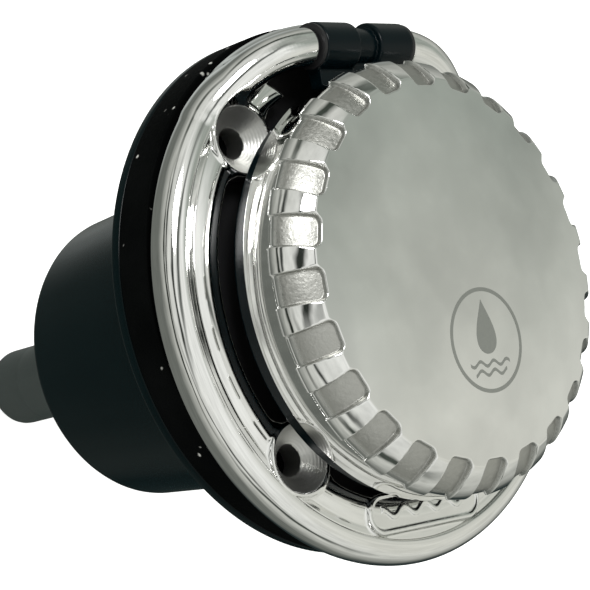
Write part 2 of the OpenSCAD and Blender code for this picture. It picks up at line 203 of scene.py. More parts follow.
def makePiece(name, points, faces, finish, body, stands=(), normals=None, marks=None, tidy=False):
    mesh = bpy.data.meshes.new(name)
    loops = np.concatenate([f.ravel() for f in faces])
    sizes = np.concatenate([np.full(len(f), f.shape[1]) for f in faces])
    mesh.vertices.add(len(points))
    mesh.vertices.foreach_set("co", (np.asarray(points) * mm).astype(np.float32).ravel())
    mesh.loops.add(len(loops))
    mesh.loops.foreach_set("vertex_index", loops.astype(np.int32))
    mesh.polygons.add(len(sizes))
    mesh.polygons.foreach_set("loop_start", np.concatenate([[0], np.cumsum(sizes)[:-1]]).astype(np.int32))
    mesh.update(calc_edges=True)
    mesh.validate()
    if tidy:
        work = bmesh.new()
        work.from_mesh(mesh)
        bmesh.ops.remove_doubles(work, verts=work.verts, dist=1e-7)
        bmesh.ops.recalc_face_normals(work, faces=work.faces)
        work.to_mesh(mesh)
        work.free()
    mesh.polygons.foreach_set("use_smooth", np.ones(len(mesh.polygons), bool))
    if marks:
        for label, amount in marks.items():
            mesh.attributes.new(label, "FLOAT", "POINT").data.foreach_set("value",
                                                                          amount.astype(np.float32))
    if normals is not None:
        mesh.normals_split_custom_set_from_vertices(normals.tolist())
    mesh.materials.append(finish)
    piece = bpy.data.objects.new(name, mesh)
    bpy.context.scene.collection.objects.link(piece)
    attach(piece, body)
    if stands:
        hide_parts(*stands)
    print("made", name, len(mesh.vertices), "points")
    return piece


# circles (radius, height, centre y) joined into one skin; a row of radius 0 closes an end
def loft(rows, segments, closed):
    angle = np.linspace(0, 2 * np.pi, segments, endpoint=False)
    rows = np.array(rows, float)
    x = rows[:, :1] * np.cos(angle)
    y = rows[:, :1] * np.sin(angle) + rows[:, 2:]
    z = np.repeat(rows[:, 1:2], segments, 1)
    points = np.stack([x, y, z], 2).reshape(-1, 3)
    count = len(rows)
    rings = np.arange(count if closed else count - 1)[:, None]
    column = np.arange(segments)[None]
    beside = (column + 1) % segments
    above = (rings + 1) % count
    quads = [rings * segments + column, rings * segments + beside, above * segments + beside,
             above * segments + column]
    return points, np.stack(quads, 2).reshape(-1, 4)


# finishes
def newFinish(name):
    finish = bpy.data.materials.new(name)
    finish.use_nodes = True
    nodes = finish.node_tree.nodes
    return finish, nodes, finish.node_tree.links, nodes["Principled BSDF"]


def addNode(nodes, kind, settings=None, **sockets):
    node = nodes.new(kind)
    for key, value in (settings or {}).items():
        setattr(node, key, value)
    for key, value in sockets.items():
        node.inputs[key.replace("_", " ")].default_value = value
    return node


def noiseAt(nodes, links, place, scale, detail=3.0, rough=0.55):
    noise = addNode(nodes, "ShaderNodeTexNoise", None, Scale=scale, Detail=detail, Roughness=rough)
    links.new(place, noise.inputs["Vector"])
    return noise.outputs["Fac"]


def spread(nodes, links, value, low, high, toLow, toHigh):
    node = addNode(nodes, "ShaderNodeMapRange", {"clamp": True})
    for socket, amount in zip(("From Min", "From Max", "To Min", "To Max"), (low, high, toLow, toHigh)):
        node.inputs[socket].default_value = amount
    links.new(value, node.inputs["Value"])
    return node.outputs["Result"]


def sums(nodes, links, operation, a, b):
    node = addNode(nodes, "ShaderNodeMath", {"operation": operation})
    for socket, value in zip(node.inputs, (a, b)):
        if hasattr(value, "links"):
            links.new(value, socket)
        else:
            socket.default_value = value
    return node.outputs[0]


def blendColor(nodes, links, amount, first, second):
    node = addNode(nodes, "ShaderNodeMix", {"data_type": "RGBA"})
    for socket, value in ((node.inputs[0], amount), (node.inputs[6], first), (node.inputs[7], second)):
        if hasattr(value, "links"):
            links.new(value, socket)
        else:
            socket.default_value = value if isinstance(value, float) else (*value, 1)
    return node.outputs[2]


def bumpOf(nodes, links, height, distance, below=None, strength=1.0):
    bump = addNode(nodes, "ShaderNodeBump", None, Strength=strength, Distance=distance)
    links.new(height, bump.inputs["Height"])
    if below:
        links.new(below, bump.inputs["Normal"])
    return bump.outputs["Normal"]


def placeOf(nodes):
    return nodes.new("ShaderNodeTexCoord").outputs["Object"]


steelLook = {
    "mirror": (0.86, 0.86, 0.845),
    "cast": (0.42, 0.42, 0.395),
    "turned": (0.62, 0.62, 0.6),
    "mirrorRoughness": (0.025, 0.075),
    "castRoughness": (0.30, 0.5),
    "waviness": 0.05,
    "castGrain": 0.07,
    "turnedPitch": 0.42,
    "turnedDepth": 0.008,
}


# polished steel, with a cast look where "cast" is 1 and turned rings where "turned" holds a radius
def polishedSteel(name, castMark, turnedMark):
    finish, nodes, links, steel = newFinish(name)
    place = placeOf(nodes)
    wave = noiseAt(nodes, links, place, 95.0, 1.0)
    smear = noiseAt(nodes, links, place, 340.0, 4.0)
    fine = noiseAt(nodes, links, place, 2600.0, 2.0)
    shine = spread(nodes, links, smear, 0.35, 0.7, *steelLook["mirrorRoughness"])
    color = blendColor(nodes, links, smear, steelLook["mirror"],
                       tuple(0.96 * c for c in steelLook["mirror"]))
    normal = bumpOf(nodes, links, wave, steelLook["waviness"] * mm)
    if castMark:
        cast = addNode(nodes, "ShaderNodeAttribute", {"attribute_name": "cast"}).outputs["Fac"]
        grain = noiseAt(nodes, links, place, 1500.0, 3.0, 0.6)
        pits = noiseAt(nodes, links, place, 520.0, 2.0)
        dull = spread(nodes, links, grain, 0.3, 0.7, *steelLook["castRoughness"])
        mix = addNode(nodes, "ShaderNodeMix", {"data_type": "FLOAT"})
        for socket, value in zip((mix.inputs[0], mix.inputs[2], mix.inputs[3]), (cast, shine, dull)):
            links.new(value, socket)
        shine = mix.outputs[0]
        color = blendColor(nodes, links, cast, color, steelLook["cast"])
        lumps = sums(nodes, links, "ADD", grain, sums(nodes, links, "MULTIPLY", pits, 0.8))
        height = sums(nodes, links, "MULTIPLY", lumps, cast)
        normal = bumpOf(nodes, links, height, steelLook["castGrain"] * mm, normal)
    if turnedMark:
        radius = addNode(nodes, "ShaderNodeAttribute", {"attribute_name": "turned"}).outputs["Fac"]
        on = spread(nodes, links, radius, 0.01, 0.02, 0.0, 1.0)
        ripple = sums(nodes, links, "SINE",
                      sums(nodes, links, "MULTIPLY", radius, 2 * math.pi / steelLook["turnedPitch"]), 0)
        ripple = sums(nodes, links, "ADD", ripple, sums(nodes, links, "MULTIPLY", fine, 2.5))
        normal = bumpOf(nodes, links, sums(nodes, links, "MULTIPLY", ripple, on),
                        steelLook["turnedDepth"] * mm, normal)
        mix = addNode(nodes, "ShaderNodeMix", {"data_type": "FLOAT"})
        mix.inputs[3].default_value = 0.36
        color = blendColor(nodes, links, on, color, steelLook["turned"])
        for socket, value in zip((mix.inputs[0], mix.inputs[2]), (on, shine)):
            links.new(value, socket)
        shine = mix.outputs[0]
    links.new(color, steel.inputs["Base Color"])
    links.new(shine, steel.inputs["Roughness"])
    links.new(normal, steel.inputs["Normal"])
    steel.inputs["Metallic"].default_value = 1.0
    return finish


def plainSteel(name, tint, rough):
    finish, nodes, links, steel = newFinish(name)
    place = placeOf(nodes)
    brush = noiseAt(nodes, links, place, 900.0, 4.0)
    links.new(blendColor(nodes, links, brush, tint, tuple(0.85 * c for c in tint)),
              steel.inputs["Base Color"])
    links.new(spread(nodes, links, brush, 0.3, 0.7, rough - 0.08, rough + 0.1), steel.inputs["Roughness"])
    links.new(bumpOf(nodes, links, brush, 0.01 * mm), steel.inputs["Normal"])
    steel.inputs["Metallic"].default_value = 1.0
    return finish


# moulded plastic: two tones, a range of roughness and a fine skin
def plastic(name, tone, second, rough, grainScale, grainDepth, shine=0.5):
    finish, nodes, links, shell = newFinish(name)
    place = placeOf(nodes)
    cloud = noiseAt(nodes, links, place, 60.0, 3.0)
    grain = noiseAt(nodes, links, place, grainScale, 3.0)
    links.new(blendColor(nodes, links, cloud, tone, second), shell.inputs["Base Color"])
    links.new(spread(nodes, links, cloud, 0.3, 0.7, *rough), shell.inputs["Roughness"])
    links.new(bumpOf(nodes, links, grain, grainDepth * mm), shell.inputs["Normal"])
    shell.inputs["Specular IOR Level"].default_value = shine
    return finish


def dustyRubber(name, tone, dust):
    finish, nodes, links, rubber = newFinish(name)
    place = placeOf(nodes)
    grain = noiseAt(nodes, links, place, 1800.0, 3.0)
    cloud = noiseAt(nodes, links, place, 45.0, 4.0)
    specks = addNode(nodes, "ShaderNodeTexVoronoi", None, Scale=420.0, Randomness=1.0)
    links.new(place, specks.inputs["Vector"])
    rare = spread(nodes, links, noiseAt(nodes, links, place, 210.0, 0.0), 0.66, 0.7, 0.0, 1.0)
    speck = sums(nodes, links, "MULTIPLY",
                 spread(nodes, links, specks.outputs["Distance"], 0.1, 0.2, 1.0, 0.0), rare)
    film = spread(nodes, links, cloud, 0.45, 0.8, 0.0, dust)
    body = blendColor(nodes, links, film, tone, (0.16, 0.17, 0.17))
    links.new(blendColor(nodes, links, speck, body, (0.45, 0.45, 0.42)), rubber.inputs["Base Color"])
    links.new(spread(nodes, links, grain, 0.3, 0.7, 0.62, 0.82), rubber.inputs["Roughness"])
    links.new(bumpOf(nodes, links, grain, 0.03 * mm), rubber.inputs["Normal"])
    rubber.inputs["Specular IOR Level"].default_value = 0.03
    return finish


finishes = {
    "lidSteel": polishedSteel("lid_polished_steel", True, False),
    "flangeSteel": polishedSteel("flange_polished_steel", False, True),
    "plainSteel": plainSteel("plain_steel", (0.62, 0.62, 0.6), 0.3),
    "etched": plainSteel("etched_steel", (0.42, 0.43, 0.41), 0.45),
    "cupPlastic": plastic("cup_gloss_black", (0.0002, 0.003, 0.0036), (0.0006, 0.005, 0.0058),
                          (0.14, 0.24), 700.0, 0.012, 0.13),
    "hingePlastic": plastic("carrier_black", (0.0004, 0.003, 0.004), (0.0015, 0.006, 0.008), (0.16, 0.28),
                            900.0, 0.012, 0.16),
    "neckPlastic": plastic("neck_black", (0.008, 0.008, 0.009), (0.014, 0.014, 0.015), (0.4, 0.55), 1200.0,
                           0.02),
    "tailPlastic": plastic("tail_dark_grey", (0.02, 0.028, 0.026), (0.034, 0.044, 0.04), (0.45, 0.6),
                           1400.0, 0.03, 0.5),
    "nylon": plastic("natural_nylon", (0.62, 0.6, 0.52), (0.7, 0.68, 0.6), (0.4, 0.5), 1100.0, 0.02),
    "rubber": dustyRubber("black_rubber", (0.0006, 0.0009, 0.0009), 0.012),
}
print("finishes ready")


# the flange is one field: bead, step, band, bosses, pad, horns and countersinks
flangeForm = {
    "beadRadius": 3.8,
    "underside": 9.6,
    "bandInnerRadius": 38.7,
    "crestRadius": 41.3,
    "crestHeight": 17.2,
    "bandOuterRadius": 44.3,
    "bandOuterDrop": 0.66,
    "bandInnerDrop": 0.2,
    "bandUnder": 12.6,
    "stripHeight": 16.62,
    "stripOuterRadius": 45.8,
    "grooveRadius": 0.2,
    "bossSpacing": 28.0,
    "bossRadius": 6.7,
    "bossTop": 17.3,
    "bossFlare": 4.5,
    "sinkRadius": 6.1,
    "holeRadius": 2.8,
    "hornRadius": 3.5,
    "hornEnd": 12.0,
    "hornBlend": 1.6,
    "barrelClearance": 4.85,
    "padHalf": (14.6, 3.7),
    "padY": -40.1,
    "padTop": 17.6,
    "padRim": 0.8,
    "padSink": 0.45,
    "waveHeight": 0.8,
    "waveLength": 5.5,
    "waveHalf": 0.36,
    "waveEnd": 11.0,
    "notch": [(-1, 30), (14, 30), (15.2, 35.6), (20.5, 38.8), (17, 41.6), (0, 43.2), (-1, 43.2)],
}


def ringField(r, z):
    form = flangeForm
    beadR = flangeHigh[0] - form["beadRadius"]
    beadZ = form["underside"] + form["beadRadius"]
    bead = np.hypot(r - beadR, z - beadZ) - form["beadRadius"]
    outer, inner = form["bandOuterRadius"], form["bandInnerRadius"]
    stripTop = roundedBox(r, z, (outer - 5, form["stripHeight"] + 5),
                          (form["stripOuterRadius"] - outer + 5, 5), 0.3)
    bead = softCut(bead, stripTop, 0.25)
    foot = roundedBox(r, z, (beadR - 1, beadZ - 1.9), (1, 1.9), 0.05)
    strip = outline(r, z,
                    [(outer, form["bandUnder"]), (beadR, form["bandUnder"]), (beadR, form["stripHeight"]),
                           (outer, form["stripHeight"] - 0.05)])
    groove = np.hypot(r - form["stripOuterRadius"], z - form["stripHeight"] - 0.05) - form["grooveRadius"]
    return softCut(softUnion(softUnion(bead, strip, 0.05), foot, 0.1), groove, 0.15)


def bandField(x, y, r, z):
    form = flangeForm
    inner, outer = form["bandInnerRadius"], form["bandOuterRadius"]
    crest = form["crestRadius"]
    outward = np.maximum(r - crest, 0) / (outer - crest)
    inward = np.clip((crest - r) / (crest - inner), 0, 1)
    drop = form["bandOuterDrop"] * outward**1.5 + form["bandInnerDrop"] * inward**2
    top = z - form["crestHeight"] + drop
    boss = np.hypot(x - form["bossSpacing"], np.abs(y) - form["bossSpacing"]) - form["bossRadius"]
    plan = np.maximum(softUnion(inner - r, boss + 0.25, form["bossFlare"]), r - outer - 1.2)
    band = softCommon(softCommon(plan, top, 0.9), form["bandUnder"] - z, 0.5)
    post = softCommon(softCommon(boss, z - form["bossTop"], 0.5), form["underside"] - z, 0.2)
    return softUnion(band, post, 0.9)


def hornField(x, y, z):
    form = flangeForm
    path = [(32.9, 32.2, 13.4), (28.0, 37.6, 15.2), (23.0, hinge[1] - 0.1, hinge[2] - 0.1),
            (form["hornEnd"] - 3, hinge[1], hinge[2])]
    horn = rod(x, y, z, bentLine(path, 44), form["hornRadius"])
    return softCommon(horn, form["hornEnd"] - x, 0.9)


def padField(x, y, z):
    form = flangeForm
    plan = roundedBox(x, y, (0, form["padY"]), form["padHalf"], form["padHalf"][1])
    raised = softCommon(softCommon(plan, z - form["padTop"], 0.45), form["bandUnder"] - z, 0.4)
    sunk = softCommon(plan + form["padRim"], form["padTop"] - form["padSink"] - z, 0.3)
    wave = form["waveHeight"] * np.sin(2 * np.pi * x / form["waveLength"] + np.pi / 2)
    rib = (np.abs(y - form["padY"] - wave) - form["waveHalf"]) * 0.8
    rib = softCommon(np.maximum(rib, x - form["waveEnd"]), z - form["padTop"] + 0.05, 0.2)
    rib = np.maximum(rib, form["padTop"] - 1.5 - z)
    return softUnion(softCut(raised, sunk, 0.25), rib, 0.15)


def sinkField(x, y, z):
    form = flangeForm
    away = np.hypot(x - form["bossSpacing"], np.abs(y) - form["bossSpacing"])
    cone = (away - form["sinkRadius"] - (z - form["bossTop"])) * math.sqrt(0.5)
    return np.minimum(cone, away - form["holeRadius"])


def flangeField(x, y, z):
    form = flangeForm
    x = np.abs(x)
    r = np.hypot(x, y)
    body = softUnion(ringField(r, z), bandField(x, y, r, z), 0.12)
    near = y > 20
    notch = outline(x[near], y[near], form["notch"])
    body[near] = softCut(body[near], notch, 0.7)
    pad = (y < -30) & (x < 20)
    body[pad] = softUnion(body[pad], padField(x[pad], y[pad], z[pad]), 0.8)
    horn = (y > 26) & (x > form["hornEnd"] - 1) & (x < 40)
    body[horn] = softUnion(body[horn], hornField(x[horn], y[horn], z[horn]), form["hornBlend"])
    saddle = np.hypot(y[near] - hinge[1], z[near] - hinge[2]) - form["barrelClearance"]
    saddle = np.maximum(saddle, x[near] - form["hornEnd"])
    body[near] = softCut(body[near], saddle, 0.3)
    return softCut(body, sinkField(x, y, z), 0.2)


def makeFlange():
    form = flangeForm
    turns, across, up = 1120, 78, 66
    step = 2 * np.pi / turns
    angle = -np.pi / 2 + (np.arange(turns // 2) + 0.5) * step
    radius = np.linspace(32.3, flangeHigh[0] + 1.4, across)
    height = np.linspace(form["underside"] - 0.45, flangeHigh[2] + 0.5, up)
    t, r, z = (a.ravel() for a in np.meshgrid(angle, radius, height, indexing="ij"))
    values = flangeField(r * np.cos(t), r * np.sin(t), z).reshape(turns // 2, across, up)
    values = np.concatenate([values, values[::-1]], 0)
    spots, quads = skinOf(values, True)
    t = -np.pi / 2 + (spots[:, 0] + 0.5) * step
    r = radius[0] + spots[:, 1] * (radius[1] - radius[0])
    z = height[0] + spots[:, 2] * (height[1] - height[0])
    points, normals = settle(flangeField, np.stack([r * np.cos(t), r * np.sin(t), z], 1), 3)
    x, y = np.abs(points[:, 0]), np.abs(points[:, 1])
    away = np.hypot(x - form["bossSpacing"], y - form["bossSpacing"])
    onCone = (np.abs(sinkField(x, points[:, 1], points[:, 2])) < 0.06) & (away < form["sinkRadius"] - 0.05)
    marks = {"turned": np.where(onCone, away, 0)}
    makePiece("polished_flange", points, [quads], finishes["flangeSteel"], "flange",
              ["deck_flange"], normals, marks)


makeFlange()


# the lid is a turned line with a softer line inside each grip recess
lidForm = {
    "recesses": 24,
    "recessHalfWidth": 2.75,
    "recessCorner": 1.6,
    "recessTipRadius": 33.4,
    "edgeFade": 0.2,
    "skirtRadius": 38.8,
    "skirtFoot": 22.5,
    "skirtInner": 36.6,
    "landFoot": 29.35,
    "landCurve": [(39.5, 29.75), (39.3, 31.9), (36.9, 34.4), (34.7, 36.0)],
    "floorCurve": [(38.8, 29.75), (38.7, 31.5), (36.0, 34.1), (33.2, 35.35)],
    "domeTop": 37.75,
    "stepAlong": 0.14,
}


def lidColumns():
    form = lidForm
    half = 180 / form["recesses"]
    edge = math.degrees(form["recessHalfWidth"] / 37)
    fade = math.degrees(form["edgeFade"] / 37) * 1.3
    one = np.concatenate([np.linspace(0, edge - fade, 10, endpoint=False),
                          np.linspace(edge - fade, edge + fade, 7, endpoint=False),
                          np.linspace(edge + fade, half, 7, endpoint=False)])
    sector = np.concatenate([-one[:0:-1], one, [half]])
    return np.radians(np.concatenate([sector + 2 * half * i for i in range(form["recesses"])]))


def makeLid():
    form = lidForm
    foot = softLine([(form["skirtInner"], form["skirtFoot"] + 6, 0),
                     (form["skirtInner"], form["skirtFoot"], 0.3),
                     (form["skirtRadius"], form["skirtFoot"], 0.4),
                     (form["skirtRadius"], form["landFoot"] - 2, 0)])
    rise = np.array([(form["skirtRadius"], h) for h in np.linspace(form["landFoot"] - 1.9,
                                                                   form["landFoot"] - 0.15, 4)])
    ledge = softLine([(form["skirtRadius"], form["landFoot"] - 0.1, 0),
                      (form["skirtRadius"], form["landFoot"], 0.12),
                      (form["landCurve"][0][0], form["landFoot"] + 0.05, 0.14),
                      (*form["landCurve"][0], 0)], 4)
    shoulder = bentLine(form["landCurve"], 60)
    crownR = form["landCurve"][3][0]
    drop = form["domeTop"] - form["landCurve"][3][1]
    crown = [(r, form["domeTop"] - drop * (r / crownR) ** 2.2) for r in np.linspace(crownR, 31.5, 24)[1:]]
    line = np.concatenate([shoulder, crown])
    line = softenLine(line, 3)
    along = np.concatenate([[0], np.cumsum(np.linalg.norm(np.diff(line, axis=0), axis=1))])
    even = np.arange(0, along[-1], form["stepAlong"])
    land = np.stack([np.interp(even, along, line[:, i]) for i in (0, 1)], 1)
    tip = np.interp(-form["recessTipRadius"], -land[:, 0], even)
    floor = bentLine(form["floorCurve"], 200)
    way = np.concatenate([[0], np.cumsum(np.linalg.norm(np.diff(floor, axis=0), axis=1))])
    share = np.clip(even / tip, 0, 1) * way[-1]
    floor = np.stack([np.interp(share, way, floor[:, i]) for i in (0, 1)], 1)
    top = [(r, form["domeTop"] - drop * (r / crownR) ** 2.2) for r in np.linspace(land[-1, 0], 0.6, 22)[1:]]
    landLine = np.concatenate([foot, rise, ledge, land, top])
    ledgeFlat = np.stack([np.full(len(ledge), form["skirtRadius"]), ledge[:, 1]], 1)
    floorLine = np.concatenate([foot, rise, ledgeFlat, floor, top])
    before = len(foot) + len(rise)
    travel = np.concatenate([np.full(before, -5.0), np.linspace(-0.6, 0, len(ledge)), even,
                             even[-1] + 3 + np.arange(len(top))])
    angle = lidColumns()
    half = np.pi / form["recesses"]
    local = (angle + half) % (2 * half) - half
    across = np.abs(local)[None] * landLine[:, :1]
    run = np.broadcast_to(travel[:, None], across.shape)
    inRecess = roundedBox(across, run, (0, tip / 2 - 10), (form["recessHalfWidth"], tip / 2 + 10),
                          form["recessCorner"])
    mask = 0.5 - np.clip(inRecess / form["edgeFade"], -1, 1) / 2
    mask = mask * mask * (3 - 2 * mask)
    r = landLine[:, :1] * (1 - mask) + floorLine[:, :1] * mask
    z = landLine[:, 1:] * (1 - mask) + floorLine[:, 1:] * mask
    points = np.stack([r * np.cos(angle), r * np.sin(angle) + lidAxisY, z], 2)
    rows, columns = r.shape
    number = np.arange(rows * columns).reshape(rows, columns)
    beside = np.roll(number, -1, 1)
    quads = np.stack([number[:-1], beside[:-1], beside[1:], number[1:]], 2).reshape(-1, 4)
    centre = [[0, lidAxisY, form["domeTop"]]]
    fan = np.stack([number[-1], beside[-1], np.full(columns, rows * columns)], 1)
    cast = mask * np.clip((run - 0.3) / 1.6, 0, 1)
    marks = {"cast": np.append(cast.ravel(), 0)}
    makePiece("scalloped_lid", np.concatenate([points.reshape(-1, 3), centre]), [quads, fan],
              finishes["lidSteel"],
              "lid", ["lid_shell"], None, marks)


def softenLine(line, rounds):
    line = np.array(line, float)
    for _ in range(rounds):
        line[1:-1] = (line[:-2] + 2 * line[1:-1] + line[2:]) / 4
    return line


makeLid()


# rubber base, cup and tail are turned shapes
gasketForm = {"edge": 0.45, "neckHole": 31.5}


def makeGasket():
    r = (gasketHigh[0] - gasketLow[0]) / 2
    low, high, edge, hole = gasketLow[2], gasketHigh[2], gasketForm["edge"], gasketForm["neckHole"]
    section = softLine([(hole, (low + high) / 2, 0), (hole, high, 0.2), (r - 3, high, 0), (r, high, edge),
                        (r, (low + high) / 2, 0), (r, low, edge), (r - 3, low, 0), (hole, low, 0.2),
                        (hole, (low + high) / 2 - 0.5, 0)])
    rows = [(u, v, baseAxisY if u > hole + 2 else lidAxisY) for u, v in section]
    points, quads = loft(rows, 320, True)
    makePiece("base_rubber", points, [quads], finishes["rubber"], "flange",
              ["base_gasket"], tidy=True)


cupForm = {"wall": 2.4, "floor": 2.5, "shankHole": 7.2, "topRadius": 31.5, "taper": 3.1, "rimRound": 0.6,
           "footRound": 1.4}


def makeCup():
    form = cupForm
    rim, rimTop = (cupHigh[0] - cupLow[0]) / 2, cupHigh[2]
    foot = form["topRadius"] - form["taper"]
    low = cupLow[2]
    outer = softLine([(form["shankHole"], low, 0), (foot - 4, low, 0), (foot, low, form["footRound"]),
                      (form["topRadius"] - 0.3, -5, 0), (form["topRadius"], 0, 0.5),
                      (form["topRadius"] + 2, 0, 0)])
    skirt = softLine([(rim - 2, 0, 0), (rim, 0, form["rimRound"]), (rim, rimTop / 2, 0),
                      (rim, rimTop, 0.5), (rim - 2, rimTop, 0)])
    inner = softLine([(form["topRadius"] + 2, rimTop, 0), (form["topRadius"] - form["wall"], rimTop, 0.3),
                      (foot - form["wall"], low + form["floor"], 1.0),
                      (form["shankHole"], low + form["floor"], 0)])
    rows = [(u, v, lidAxisY) for u, v in outer] + [(u, v, baseAxisY) for u,
                                                   v in skirt] + [(u, v, lidAxisY) for u, v in inner]
    points, quads = loft(rows, 320, True)
    makePiece("closed_cup", points, [quads], finishes["cupPlastic"], "flange",
              ["housing_cup"], tidy=True)


tailForm = {"bore": 5.3, "end": 8.0, "endRound": 2.6, "land": 8.0, "root": 12.8, "collar": 14.8,
            "collarHeight": 2.0,
            "shank": 7.0, "shoulder": -53.0}


def makeTail():
    form = tailForm
    low, high = tailLow[2], tailHigh[2]
    top = form["shoulder"]
    line = softLine([(form["bore"], low + 0.6, 0), (form["bore"] + 0.3, low, 0.1),
                     (form["end"], low, form["endRound"]),
                     (form["end"], low + form["land"] + form["endRound"], 6.0),
                     (form["root"], top - form["collarHeight"], 0.8),
                     (form["collar"], top - form["collarHeight"], 0.3), (form["collar"], top, 0.3),
                     (form["shank"], top, 0.2),
                     (form["shank"], high, 0.5), (form["bore"], high, 0.4),
                     (form["bore"], (low + high) / 2, 0)], 8)
    points, quads = loft([(u, v, lidAxisY) for u, v in line], 200, True)
    makePiece("tapered_tail", points, [quads], finishes["tailPlastic"], "flange",
              ["hose_tail"], tidy=True)


makeGasket()
makeCup()
makeTail()


# the carrier is a ring under the lid with an arm and a hinge barrel
carrierForm = {
    "ringOuter": 37.5, "ringInner": 29.1, "ringLow": 18.8, "ringHigh": 21.9, "armHalf": 11.1,
    "armStart": 28.0,
    "barrelRadius": 4.35, "grooveHalf": 2.45, "grooveRadius": 3.3, "pinHole": 2.35, "grid": 0.36,
}


def carrierField(x, y, z):
    form = carrierForm
    x = np.abs(x)
    r = np.hypot(x, y - lidAxisY)
    middle = (form["ringLow"] + form["ringHigh"]) / 2
    thick = (form["ringHigh"] - form["ringLow"]) / 2
    ring = roundedBox(r, z, ((form["ringOuter"] + form["ringInner"]) / 2, middle),
                      ((form["ringOuter"] - form["ringInner"]) / 2, thick), 0.3)
    reach = (hinge[1] - form["armStart"]) / 2
    arm = np.maximum(np.abs(x) - form["armHalf"] + 0.3,
                     roundedBox(y, z, (form["armStart"] + reach, middle), (reach, thick), 0.3))
    away = np.hypot(y - hinge[1], z - hinge[2])
    barrel = softCommon(away - form["barrelRadius"], x - form["armHalf"], 0.5)
    groove = np.maximum(form["grooveRadius"] - away, x - form["grooveHalf"])
    barrel = softCut(barrel, groove, 0.5)
    body = softUnion(softUnion(ring, np.maximum(arm, form["ringInner"] - r), 0.4), barrel, 0.6)
    return softCut(body, away - form["pinHole"], 0.2)


def makeCarrier():
    grid = carrierForm["grid"]
    axes = [np.arange(carrierLow[i] - 1, carrierHigh[i] + 1 + grid, grid) for i in range(3)]
    x, y, z = (a.ravel() for a in np.meshgrid(*axes, indexing="ij"))
    values = carrierField(x, y, z).reshape([len(a) for a in axes])
    spots, quads = skinOf(values, False)
    spots = np.stack([axes[i][0] + spots[:, i] * grid for i in range(3)], 1)
    points, normals = settle(carrierField, spots, 3)
    makePiece("lid_carrier", points, [quads], finishes["hingePlastic"], "carrier",
              ["carrier_ring"], normals)


makeCarrier()


# etched mark on the lid: a ring round a drop above two waves
markForm = {"x": 1.8, "y": -13.5, "ring": (8.6, 9.3), "drop": 3.6, "rise": 0.012}


def domeHeight(x, y):
    crownR, edge = lidForm["landCurve"][3]
    r = np.hypot(x, y - lidAxisY)
    return lidForm["domeTop"] - (lidForm["domeTop"] - edge) * (r / crownR) ** 2.2 + markForm["rise"]


def ribbon(inner, outer):
    count = len(inner)
    flat = np.concatenate([inner, outer])
    a = np.arange(count - 1)
    return flat, np.stack([a, a + 1, a + 1 + count, a + count], 1)


def makeMark():
    form = markForm
    turn = np.linspace(0, 2 * np.pi, 97)
    circle = np.stack([np.cos(turn), np.sin(turn)], 1)
    parts = [ribbon(circle * form["ring"][0], circle * form["ring"][1])]
    half = np.linspace(0, np.pi, 41)
    width = form["drop"] * np.sin(half) * np.sin(half / 2) ** 1.5
    tall = form["drop"] * 1.35 * np.cos(half) + 2.4
    parts.append(ribbon(np.stack([-width, tall], 1), np.stack([width, tall], 1)))
    for level in (-4.1, -5.7):
        across = np.linspace(-5.2, 5.2, 41) * (1.0 if level > -5 else 0.8)
        wave = level + 0.45 * np.sin(across * 1.8)
        parts.append(ribbon(np.stack([across, wave - 0.3], 1), np.stack([across, wave + 0.3], 1)))
    points, faces, start = [], [], 0
    for flat, quads in parts:
        points.append(flat)
        faces.append(quads + start)
        start += len(flat)
    flat = np.concatenate(points) + [form["x"], form["y"]]
    solid = np.column_stack([flat, domeHeight(flat[:, 0], flat[:, 1])])
    makePiece("etched_mark", solid, [np.concatenate(faces)], finishes["etched"], "lid",
              tidy=True)


makeMark()


# CAD nodes that keep their own shape
nodeFinish = {
    "plainSteel": ["neck_screws", "strainer_basket", "strainer_clip", "hinge_pin", "lid_screws",
                   "retaining_ring"],
    "neckPlastic": ["neck_collar", "lid_plug", "tail_nut", "hinge_washer_left", "hinge_washer_right"],
    "rubber": ["deck_seal", "neck_o_ring", "tail_seal", "lid_seal"],
    "nylon": ["hinge_bush_left", "hinge_bush_right", "slip_washer"],
}
for finishName, names in nodeFinish.items():
    for name in names:
        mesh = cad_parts[name].data
        mesh.materials.clear()
        mesh.materials.append(finishes[finishName])
print("CAD nodes finished")


# floor, light and camera
roomLook = {"floorSize": 5000.0, "floorTone": (0.93, 0.93, 0.93), "floorGlow": 0.82}


def makeFloor():
    half = roomLook["floorSize"] / 2
    low = tailLow[2] - 0.3
    points = np.array([(-half, -half, low), (half, -half, low), (half, half, low), (-half, half, low)])
    mesh = bpy.data.meshes.new("floor")
    mesh.from_pydata((points * mm).tolist(), [], [(0, 1, 2, 3)])
    finish, nodes, links, paint = newFinish("pale_floor")
    place = placeOf(nodes)
    tone = blendColor(nodes, links, noiseAt(nodes, links, place, 3.0), roomLook["floorTone"],
                      (0.96, 0.96, 0.955))
    links.new(tone, paint.inputs["Base Color"])
    links.new(tone, paint.inputs["Emission Color"])
    paint.inputs["Emission Strength"].default_value = roomLook["floorGlow"]
    paint.inputs["Roughness"].default_value = 0.9
    paint.inputs["Specular IOR Level"].default_value = 0.0
    mesh.materials.append(finish)
    floor = bpy.data.objects.new("floor", mesh)
    bpy.context.scene.collection.objects.link(floor)
    floor.visible_glossy = False  # polished steel and gloss plastic mirror the room below instead


makeFloor()

